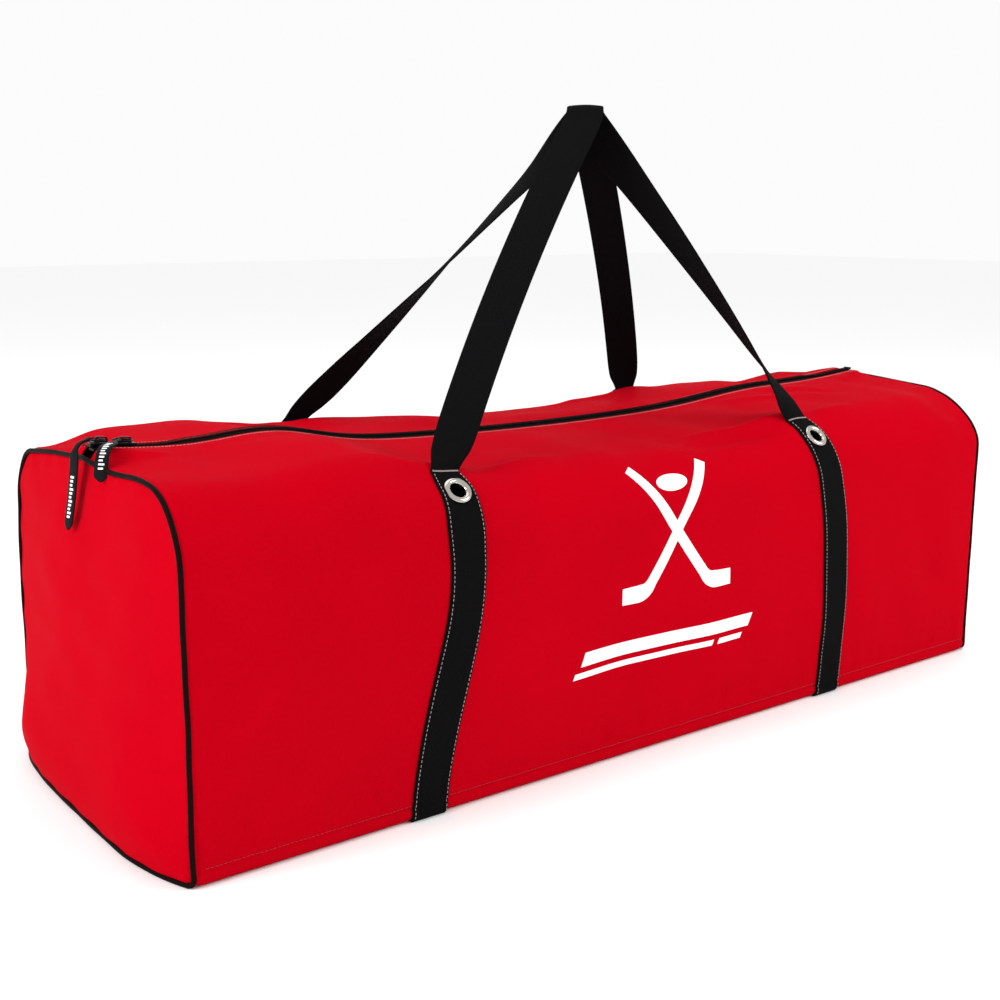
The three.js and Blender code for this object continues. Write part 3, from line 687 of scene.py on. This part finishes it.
def end_panel(sign, name):
    """An end panel with a small hole in its middle, and the points of that hole's rims."""
    count, rings = 260, 60
    outline = end_outline(sign, PIPING_RADIUS * 0.9, count)
    middle = np.array([0.0, zip_z(HALF_LENGTH) / 2])
    ring = np.concatenate([np.linspace(0.004, 0.95, rings - 10), np.linspace(0.96, 1, 10)])
    yz = middle + ring[None, :, None] * (outline - middle)[:, None]
    y, z = yz[..., 0], yz[..., 1]
    r = np.broadcast_to(ring, y.shape)
    low = 1.25 - z / middle[1] / 4
    seed = 90 if sign < 0 else 120
    around = np.broadcast_to(np.arange(count)[:, None] / count * 2 * np.pi, y.shape)
    dome = END_BULGE * (1 - r ** 2.6) * low
    dome += 0.0035 * bell(z, 0.022, 0.030) * (1 - r ** 12) * (1 - (y / HALF_WIDTH) ** 4)
    dome += (1 - r ** 6) * (0.0018 * waves(y, z, 0.22, seed) + 0.0006 * waves(y, z, 0.08, seed + 1))
    pucker = np.sin(31 * around + 2.5 * np.sin(3 * around))
    dome += 0.0009 * np.exp(-(1 - r) / 0.07) * pucker * (1 - smooth(r, 0.97, 1))
    dome -= 0.0022 * smooth(r, 0.975, 1)
    outer = np.stack([sign * (HALF_LENGTH + dome + end_bow(y, z)), y, z], -1)
    inner = outer - [sign * SKIN, 0, 0]
    piece, _ = slab(name, outer, inner, RED, np.stack([y, z], -1), ring=True)
    cap_points = np.vstack([outer[:, 0], inner[:, 0]])
    return piece, cap_points


def closed_panel(sign, side):
    """An end panel whose small middle hole is closed with one face outside and one inside."""
    name = f"{side}_end_cloth"
    piece, rims = end_panel(sign, name)
    half = len(rims) // 2
    mesh = piece.data
    points = np.array([v.co for v in mesh.vertices])
    faces = [tuple(p.vertices) for p in mesh.polygons]
    uv = points[:, 1:]
    rim = [int(np.argmin(((points - target) ** 2).sum(1))) for target in rims]
    outer_rim, inner_rim = rim[:half], rim[half:]
    inner_wall = set(outer_rim) | set(inner_rim)
    faces = [f for f in faces if not set(f) <= inner_wall]
    faces += [tuple(outer_rim), tuple(inner_rim[::-1])]
    bpy.data.objects.remove(piece)
    bpy.data.meshes.remove(mesh)
    piece = mesh_piece(name, points, faces, RED, uv)
    give(piece, "red_cloth", f"{side}_end_panel")


closed_panel(-1, "left")
closed_panel(1, "right")


def bottom_cloth():
    x_reach, y_reach = HALF_LENGTH - 0.002, HALF_WIDTH - BOTTOM_RADIUS
    x, y = np.meshgrid(np.linspace(-1, 1, 200) * x_reach, np.linspace(-1, 1, 70) * y_reach, indexing="ij")
    x = x * (1 + end_bow(y, 0) / HALF_LENGTH)
    z = 0.0012 + 0.0006 * (1 + waves(x, y, 0.25, 7)) * smooth(y_reach - np.abs(y), 0, 0.05)
    low = np.stack([x, y, np.maximum(z - 0.0012, 0.0001)], -1)
    piece, _ = slab("bottom_cloth", low + [0, 0, SKIN], low, RED, np.stack([x, y], -1))
    give(piece, "red_cloth", "bottom_panel")


bottom_cloth()


def piping(sign, side):
    count = 420
    y, z = end_outline(sign, PIPING_RADIUS, count).T
    path = np.stack([sign * (HALF_LENGTH + end_bow(y, z)), y, z], -1)
    path[:, 0] += 0.0004 * waves(np.arange(count) / count, np.zeros(count), 0.06, 5)
    ahead = unit(np.roll(path, -1, 0) - np.roll(path, 1, 0))
    across = np.tile([1.0, 0, 0], (count, 1))
    points, faces = tube_mesh(path, across, unit(np.cross(ahead, across)), PIPING_RADIUS, 12, closed=True)
    give(mesh_piece(f"{side}_piping_cord", points, faces, CORD), "piping", f"{side}_piping")


piping(-1, "left")
piping(1, "right")

# ---- seam bindings inside -----------------------------------------------------------------

def end_binding(sign, side):
    count, strip = 300, np.linspace(0, 1, 6)
    outer, inner = end_outline(sign, 0.0045, count), end_outline(sign, 0.0045 + BINDING_WIDTH, count)
    yz = outer[:, None] + strip[None, :, None] * (inner - outer)[:, None]
    rib = 0.0002 * np.sin(np.arange(count) * 2 * np.pi * 50 / count)[:, None] * np.ones(6)
    x = sign * (HALF_LENGTH - 0.0032 + end_bow(yz[..., 0], yz[..., 1]))
    low = np.stack([x + sign * rib, yz[..., 0], yz[..., 1]], -1)
    uv = np.stack(np.broadcast_arrays(np.arange(count)[:, None] * 0.0048, strip * BINDING_WIDTH), -1)
    piece, _ = slab(f"{side}_seam_tape", low, low - [sign * 0.0012, 0, 0], BINDING, uv, ring=True)
    give(piece, "binding_tape", f"seam_binding_{side}")


def long_binding(side, name):
    low, high = (np.array(c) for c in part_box(f"seam_binding_{name}"))
    x, t = np.meshgrid(np.linspace(low[0], high[0], 260), np.linspace(0, 1, 6), indexing="ij")
    y = low[1] + t * (high[1] - low[1])
    z = (low[2] + high[2]) / 2 - 0.0004 + 0.0002 * np.sin(x * 2 * np.pi / 0.02)
    grid = np.stack([x, y, z], -1)
    piece, _ = slab(f"{name}_seam_tape", grid + [0, 0, 0.0011], grid, BINDING, np.stack([x, t * 0.01], -1))
    give(piece, "binding_tape", f"seam_binding_{name}")


end_binding(-1, "left")
end_binding(1, "right")
long_binding(FRONT, "front")
long_binding(REAR, "rear")

# ---- zip ----------------------------------------------------------------------------------

def zip_rise(x, y):
    """The zip stands proud of the sagging cloth, except where its sliders are parked."""
    proud = 0.0026 * (1 - smooth(np.abs(x), 0.43, 0.47)) * (1 - smooth(np.abs(y), 0.004, 0.013))
    return proud + lift_top(x, 0.35)


def zip_nodes(part, name):
    return [f"zip_{part}_{name}_{where}" for where in ("left", "middle", "right")]


def zip_tape(side, name):
    x, t = np.meshgrid(np.linspace(-ZIP_END, ZIP_END, 420), np.linspace(0, 1, 8), indexing="ij")
    y = -side * (TAPE_START + t * TAPE_WIDTH)
    top = np.stack([x, y, zip_z(x) - 0.0001 * t + zip_rise(x, y)], -1)
    uv = np.stack([x, t * TAPE_WIDTH], -1)
    piece, source = slab(f"zip_tape_{name}", top, top - [0, 0, TAPE_THICKNESS], TAPE, uv)
    blend_by(piece, opening_share(x, y).ravel()[source])
    give(piece, "zip_tape", *zip_nodes("tape", name), body=None)


def zip_coil(side, name):
    """The coil of one side; the rear one starts half a pitch on, so the two interlock."""
    turn = np.arange(int(2 * ZIP_END / COIL_PITCH) * COIL_STEPS) / COIL_STEPS
    start = -ZIP_END if side == FRONT else -ZIP_END + COIL_PITCH / 2
    x = start + turn * COIL_PITCH
    swing = 2 * np.pi * turn
    z = zip_z(x) + zip_rise(x, 0) + 0.0013 + 0.0009 * np.sin(swing)
    path = np.stack([x, -side * (0.00255 + 0.0022 * np.cos(swing)), z], -1)
    ahead = unit(np.gradient(path, axis=0))
    across = unit(np.cross(ahead, np.array([0.3, 0.2, 1.0])))
    points, faces = tube_mesh(path, across, np.cross(across, ahead), COIL_WIRE, 5)
    coil = mesh_piece(f"zip_coil_{name}", points, faces, COIL)
    blend_by(coil, opening_share(points[:, 0], points[:, 1]))
    give(coil, "zip_coil", *zip_nodes("coil", name), body=None)


def zip_topstitch(side, name):
    x = np.linspace(-ZIP_END, ZIP_END, 500)
    share = np.clip(1 - 0.0040 / section(x, 0.0)[4], 0, 1)
    points, normals = place(side, x, share, 0.0002)
    points, faces = stitches(points, normals, 0.0036, 0.0026, 0.00032, 3)
    seam = mesh_piece(f"zip_topstitch_{name}", points, faces, THREAD)
    blend_by(seam, opening_share(points[:, 0], points[:, 1]))
    give(seam, "webbing", body=None)


for owner, which in ((FRONT, "front"), (REAR, "rear")):
    zip_tape(owner, which)
    zip_coil(owner, which)
    zip_topstitch(owner, which)


def bottom_seam(side, name):
    x = np.linspace(-HALF_LENGTH + 0.008, HALF_LENGTH - 0.008, 500)
    points, normals = place(side, x, share_at(x, SEAM_UP + 0.0035), 0.0001)
    points, faces = stitches(points, normals, 0.0042, 0.0031, 0.00036, 4)
    give(mesh_piece(f"bottom_stitch_{name}", points, faces, RED_THREAD), "red_cloth")


bottom_seam(FRONT, "front")
bottom_seam(REAR, "rear")

# ---- webbing ------------------------------------------------------------------------------

# Width direction of a raised handle's webbing, in degrees from +X: (share of the way, angle)
# up its left leg from the fold to the top, then down its right leg from the top.
TURNS = {
    "front": ([(0, 0), (0.04, -10), (0.5, -18), (0.85, -28), (1, -37)],
              [(0, -37), (0.12, -55), (0.27, -76), (0.47, -93), (0.66, -111), (0.81, -127), (0.9, -148),
               (1, -180)]),
    "rear": ([(0, 0), (0.16, 4), (0.25, 15), (0.35, 27), (0.44, 40), (0.51, 53), (0.64, 66), (0.8, 85),
              (0.95, 138), (1, 143)],
             [(0, 143), (0.85, 150), (0.95, 165), (1, 180)]),
}
BOWS = {"front": (-0.013, 0.010), "rear": (0.003, 0.010)}    # each leg bows this far along the bag
OVER_HOOK = np.array([0.6, 0.8, 0.0])    # the webbing crosses its top in this direction
HOOK_RADIUS = 0.0075                     # and turns there with this radius
FRONT_OVER_REAR = 0.006                  # the front handle lies this much above the rear one
PATH_STEP = 0.002
WEBBING_OFFSETS = np.linspace(-0.5, 0.5, 25)    # across the webbing, in widths


def pinch(distance):
    """The webbing is gathered a little where its bar is stitched."""
    return 1 - 0.20 * (1 - smooth(distance, 0, 0.026))


def selvedge(offset):
    """The webbing's share of its thickness, less at its two edges."""
    return 0.35 + 0.65 * smooth(0.5 - np.abs(offset), 0, 0.03)


def strap_rows(name):
    """Rows of points up a sewn strap to its bar: under face, top face."""
    side, _, top = STRAPS[name]
    end = bar_share(top)
    v = np.linspace(0.012, end, 96)[:, None]
    x = strap_line(name, v) + WEBBING_OFFSETS * WEBBING_WIDTH * pinch((end - v) * section(top, 0.0)[4])
    low, _ = place(side, x, v, STRAP_GAP)
    high, _ = place(side, x, v, STRAP_GAP + WEBBING * selvedge(WEBBING_OFFSETS))
    return low, high


def handle_path(side, name):
    """Centre line of a raised handle, from bar to bar, and the width direction along it."""
    feet = []
    for end in ("left", "right"):
        _, _, x = STRAPS[f"{name}_{end}"]
        spot, _ = place(side, np.array(x), np.array(bar_share(x)), STRAP_GAP + WEBBING / 2)
        feet.append(spot)
    lift = FRONT_OVER_REAR if name == "front" else 0.0
    top = np.array([HANDLE_X, 0, HANDLE_Z + lift])
    reach = HOOK_RADIUS + lift
    down = np.array([0, 0, reach])
    line = np.array([feet[0], top - OVER_HOOK * reach - down, top - OVER_HOOK * reach * 0.6,
                     top + OVER_HOOK * reach * 0.6, top + OVER_HOOK * reach - down, feet[1]])
    total = polyline_length(line)
    count = int(total / PATH_STEP)
    path = along(line, np.linspace(0, total, count))
    row, half = np.arange(count), np.argmax(path[:, 2])
    rising = row < half
    t = np.where(rising, row / half, (count - 1 - row) / (count - 1 - half))
    path[:, 0] += np.where(rising, *BOWS[name]) * 4 * t * (1 - t)
    path = soften(path, 9, 3.2)
    crest = int(np.argmax(path[:, 2]))
    up, down = TURNS[name]
    rise = np.arange(crest) / crest
    fall = np.arange(count - crest) / (count - crest - 1)
    angle = np.concatenate([np.interp(rise, *zip(*up)), np.interp(fall, *zip(*down))])
    soft = np.exp(-0.5 * (np.arange(-18, 19) / 8) ** 2)
    angle = np.convolve(np.pad(angle, 18, "edge"), soft / soft.sum(), "valid")
    angle = np.radians(angle)
    flat = np.stack([np.cos(angle), np.sin(angle), 0 * angle], -1)
    ahead = unit(np.gradient(path, axis=0))
    width = unit(flat - (flat * ahead).sum(1, keepdims=True) * ahead)
    foot = smooth(np.minimum(row, row[::-1]) * PATH_STEP, 0.004, 0.065)[:, None]
    width = unit(width * foot + flat * (1 - foot))
    return path, ahead, width


def webbing(side, name):
    """One piece of webbing: up a strap, round the raised handle and down the other strap."""
    low_a, high_a = strap_rows(f"{name}_left")
    low_b, high_b = strap_rows(f"{name}_right")
    path, ahead, width = handle_path(side, name)
    face = unit(np.cross(width, ahead)) * side
    offset = WEBBING_OFFSETS[None, :, None]
    cup = 0.0016 * (4 * offset ** 2 - 0.33)
    thickness = face[:, None] * (WEBBING / 2 * selvedge(offset))
    walked = np.arange(len(path)) * PATH_STEP
    gap = np.minimum(walked, walked[::-1])
    free = smooth(gap, 0.01, 0.08)[:, None, None]
    span = WEBBING_WIDTH * pinch(gap)[:, None, None]
    rows = path[:, None] + width[:, None] * offset * span
    rows = rows - face[:, None] * (cup * free)
    start_fix = (low_a[-1] + high_a[-1]) / 2 - rows[0]
    end_fix = ((low_b[-1] + high_b[-1]) / 2)[::-1] - rows[-1]
    near_start = (1 - smooth(walked, 0, 0.04))[:, None, None]
    rows = rows + start_fix * near_start + end_fix * near_start[::-1]
    high = np.concatenate([high_a[:-1], rows + thickness, high_b[::-1, ::-1][1:]])
    low = np.concatenate([low_a[:-1], rows - thickness, low_b[::-1, ::-1][1:]])
    middle = (high + low) / 2
    step = np.linalg.norm(np.diff(middle[:, len(WEBBING_OFFSETS) // 2], axis=0), axis=1)
    length = np.concatenate([[0], np.cumsum(step)])[:, None]
    uv = np.stack(np.broadcast_arrays(length, WEBBING_OFFSETS * WEBBING_WIDTH), -1)
    cells = (middle[1:, 1:] + middle[:-1, :-1]) / 2
    keep = np.ones(cells.shape[:2], bool)
    for end in ("left", "right"):
        _, cx, cv = eyelet_centre(f"{name}_{end}")
        spot, _ = place(side, np.array(cx), np.array(cv), STRAP_GAP + WEBBING / 2)
        keep &= np.linalg.norm(cells - spot, axis=-1) > EYELET_HOLE
    piece, _ = slab(f"{name}_webbing", high, low, WEB, uv, keep)
    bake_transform(piece)
    give(piece, "webbing", f"strap_{name}_left", f"strap_{name}_right", f"{name}_handle", body=None)


webbing(FRONT, "front")
webbing(REAR, "rear")


def strap_stitching(name):
    """Topstitch inside both edges of a strap and the dense bar across its top."""
    side, _, top = STRAPS[name]
    end = bar_share(top)
    total = section(top, 0.0)[4]
    parts = []
    for i, offset in enumerate((-0.0174, 0.0174)):
        v = np.linspace(0.02, end - 0.004 / total, 200)
        x = strap_line(name, v) + offset * pinch((end - v) * total)
        points, normals = place(side, x, v, STRAP_GAP + WEBBING)
        parts.append(stitches(points, normals, 0.0042, 0.0029, 0.00031, i + 5))
    points, faces = join(parts)
    give(mesh_piece(f"topstitch_{name}", points, faces, THREAD), "webbing")
    rows = []
    x = np.linspace(top - 0.0145, top + 0.0145, 60)
    for k in range(2):
        v = end - (0.0010 + 0.0008 * k) / total
        points, normals = place(side, x, v, STRAP_GAP + WEBBING + 0.0002)
        rows.append(stitches(points, normals, 0.0018, 0.0018, 0.00036, 20 + k))
    points, faces = join(rows)
    give(mesh_piece(f"bar_stitch_{name}", points, faces, THREAD), "webbing")


for strap in STRAPS:
    strap_stitching(strap)

# ---- eyelets ------------------------------------------------------------------------------

EYELET_SIDES = 64
EYELET_PROFILE = [               # distance from the axis and height above the cloth, in mm
    (7.5, -6.0), (7.5, -1.0), (7.6, 1.9), (7.9, 3.1), (8.6, 4.1), (9.7, 4.75), (10.8, 4.9), (12.0, 4.7),
    (13.1, 4.2), (13.8, 3.6), (14.0, 3.2), (13.9, 2.95), (13.2, 2.9), (8.4, 2.9), (8.2, 2.6), (8.2, -2.6),
    (9.6, -3.0), (12.6, -3.0), (12.8, -3.6), (12.2, -4.2), (9.6, -6.1), (8.6, -6.6), (7.8, -6.5),
]


def eyelet(name):
    side, x, v = eyelet_centre(name)
    centre, out = place(side, np.array(x), np.array(v))
    right = np.array([1.0, 0, 0])
    up = np.cross(out, right)
    turn = np.arange(EYELET_SIDES) * 2 * np.pi / EYELET_SIDES
    around = np.cos(turn)[:, None] * right + np.sin(turn)[:, None] * up
    profile = np.array(EYELET_PROFILE) / 1000
    grid = centre + around[:, None] * profile[None, :, :1] + out * profile[None, :, 1:]
    index = np.arange(EYELET_SIDES * len(profile)).reshape(EYELET_SIDES, len(profile))
    a, b = index, np.roll(index, -1, 0)
    faces = np.stack([a, b, np.roll(b, -1, 1), np.roll(a, -1, 1)], -1).reshape(-1, 4)
    piece = mesh_piece(f"eyelet_ring_{name}", grid.reshape(-1, 3), faces, NICKEL, sharp=50)
    give(piece, "nickel", f"eyelet_{name}", f"eyelet_washer_{name}")


for strap in STRAPS:
    eyelet(strap)

# ---- print on the front -------------------------------------------------------------------

PRINT_MIDDLE = (0.010, 0.232)      # x, and height up the bag, of the emblem's middle


def inked(rows, ring=False):
    """A thin layer of ink laid on the front, from a grid of (x, z) points."""
    x, z = np.moveaxis(np.array(rows, float), -1, 0)
    v = share_at(x, z - BOTTOM_RADIUS + BOTTOM_RADIUS * math.pi / 2)
    return slab_mesh(place(FRONT, x, v, 0.00035)[0], place(FRONT, x, v, 0.00005)[0], ring=ring)[:2]


def stroke(path, widths, steps):
    """A band round a line of (x, z) points, with its half width at each."""
    path, widths = np.array(path, float), np.array(widths, float)[:, None]
    want = np.linspace(0, polyline_length(path), steps)
    line = soften(along(path, want), 4, 1.8)
    half = along(path, want, widths)
    ahead = unit(np.gradient(line, axis=0))
    side = np.stack([-ahead[:, 1], ahead[:, 0]], -1)
    return line[:, None] + side[:, None] * (half * np.linspace(-1, 1, 7))[..., None]


def emblem():
    """A plain generic sign: two crossed hockey sticks with a puck, and slanted bars below."""
    cx, cz = PRINT_MIDDLE
    parts = []
    for mirror in (1, -1):
        stick = [(-0.052, 0.072), (0.036, -0.048), (0.041, -0.055), (0.050, -0.058), (0.075, -0.058)]
        half = [0.0060, 0.0062, 0.0076, 0.0092, 0.0086]
        points = [(cx + mirror * x, cz + z) for x, z in stick]
        parts.append(inked(stroke(points, half, 80)))
    turn = np.linspace(0, 2 * np.pi, 49)
    parts.append(inked([[(cx + r * 0.021 * math.cos(t), cz + 0.052 + r * 0.0095 * math.sin(t))
                         for r in (0.02, 0.4, 0.7, 1)] for t in turn[:-1]], ring=True))
    bars = ((-0.126, 0.112, 0.112, 0.126), (-0.131, 0.062, 0.100, 0.106), (0.070, 0.106, 0.100, 0.106))
    for left, right, low, high in bars:
        x, t = np.meshgrid(np.linspace(left, right, 90), np.linspace(0, 1, 8), indexing="ij")
        z = low + t * (high - low)
        parts.append(inked(np.stack([x + (z - 0.1) * 0.45, z], -1)))
    points, faces = join([(p, np.asarray(f).tolist()) for p, f in parts])
    give(mesh_piece("front_print", points, faces, INK), "red_cloth")


emblem()

# ---- sliders and pull tabs ----------------------------------------------------------------

for node in ("slider_a_body", "slider_b_body", "slider_a_pull", "slider_b_pull",
             "zip_stop_left", "zip_stop_right"):
    materials = frame["nodes"][node].data.materials
    materials.clear()
    materials.append(METAL)

TAB_ROWS, TAB_SIDES, TAB_DASHES = 60, 20, 11


def tab(name, joint, heading, reach, sway, drops, body, first):
    """A moulded pull tab hung from its ring: a neck, then a rounded tongue with pale dashes.

    reach, sway and drops place its line from the ring: ahead, sideways and up. The dashes start
    at row first.
    """
    pivot = np.array(JOINTS[joint]["pos_m"])
    ahead = np.array([math.cos(heading), math.sin(heading), 0])
    side = np.array([-math.sin(heading), math.cos(heading), 0])
    path = np.stack([pivot + ahead * a + side * b + [0, 0, c] for a, b, c in zip(reach, sway, drops)])
    line = soften(along(path, np.linspace(0, polyline_length(path), TAB_ROWS)), 5, 2.5)
    t = np.linspace(0, 1, TAB_ROWS)
    forward = unit(np.gradient(line, axis=0))
    up = unit(np.cross(forward, side))
    half = 0.0026 + 0.0038 * smooth(t, 0.16, 0.30)
    half = half * np.sqrt(np.clip(1 - smooth(t, 0.90, 1.0) ** 2 * 0.96, 0.02, 1))
    half = half * (0.7 + 0.3 * smooth(t, 0, 0.06))
    thick = 0.0013 - 0.0002 * smooth(t, 0.16, 0.30)
    turn = np.arange(TAB_SIDES) * 2 * np.pi / TAB_SIDES
    wide, high = (np.sign(value) * np.abs(value) ** 0.5 for value in (np.cos(turn), np.sin(turn)))
    ring = (wide[None, :, None] * side * half[:, None, None]
            + high[None, :, None] * up[:, None] * thick[:, None, None])
    points = (line[:, None] + ring).reshape(-1, 3)
    tongue = mesh_piece(f"{name}_tongue", points, tube_faces(TAB_ROWS, TAB_SIDES), RUBBER)
    give(tongue, "pull_tab", f"{name}_tab", body=body)
    marks = []
    for k in range(TAB_DASHES):
        where = first + k * (55 - first) / 12 + np.linspace(0, 1.3, 3)
        spot, out = (np.stack([np.interp(where, np.arange(TAB_ROWS), column) for column in data.T], -1)
                     for data in (line, up))
        out = out * (1 if up[30][2] > -0.3 else -1)
        across = np.linspace(-0.0024, 0.0030 - 0.0009 * (k % 3), 5)
        high = spot[:, None] + side * across[:, None] + (out * (thick[30] + 0.0002))[:, None]
        marks.append(slab_mesh(high, high - out[:, None] * 0.0004)[:2])
    points, faces = join([(p, f.tolist()) for p, f in marks])
    dashes = give(mesh_piece(f"{name}_dashes", points, faces, INK), "pull_tab", body=body)
    return tongue, dashes


tab_a = tab("slider_a", "pull_a_swing", math.radians(180 + 48.1),
            [0.0125, 0.020, 0.035, 0.050, 0.061, 0.068, 0.072],
            [0, 0, 0, 0.001, 0.002, 0.003, 0.003],
            [0.0012, 0.0015, 0.0015, 0.001, -0.004, -0.013, -0.026], "pull_a", 20)
tab("slider_b", "pull_b_swing", math.radians(180 + 11.5),
    [0.0125, 0.018, 0.026, 0.0315, 0.0330, 0.0330, 0.0330],
    [0, 0.001, 0.004, 0.007, 0.007, 0.001, -0.010],
    [0.0008, 0.001, -0.001, -0.006, -0.020, -0.045, -0.080], "pull_b", 27)
for piece in tab_a:              # each piece of the hanging tab gets a mesh of its own
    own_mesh(piece)

# ---- floor and finish ---------------------------------------------------------------------

def make_floor():
    f = Finish("floor", (0.96, 0.96, 0.96), 0.9, Specular_IOR_Level=0.0)
    f.shade(f.noise(3, 2), 0.995, 1.005)
    mesh = bpy.data.meshes.new("floor")
    reach = 14
    corners = [(-reach, -reach, 0), (reach, -reach, 0), (reach, reach, 0), (-reach, reach, 0)]
    mesh.from_pydata(corners, [], [(0, 1, 2, 3)])
    mesh.materials.append(f.material)
    floor = bpy.data.objects.new("floor", mesh)
    bpy.context.collection.objects.link(floor)


make_floor()
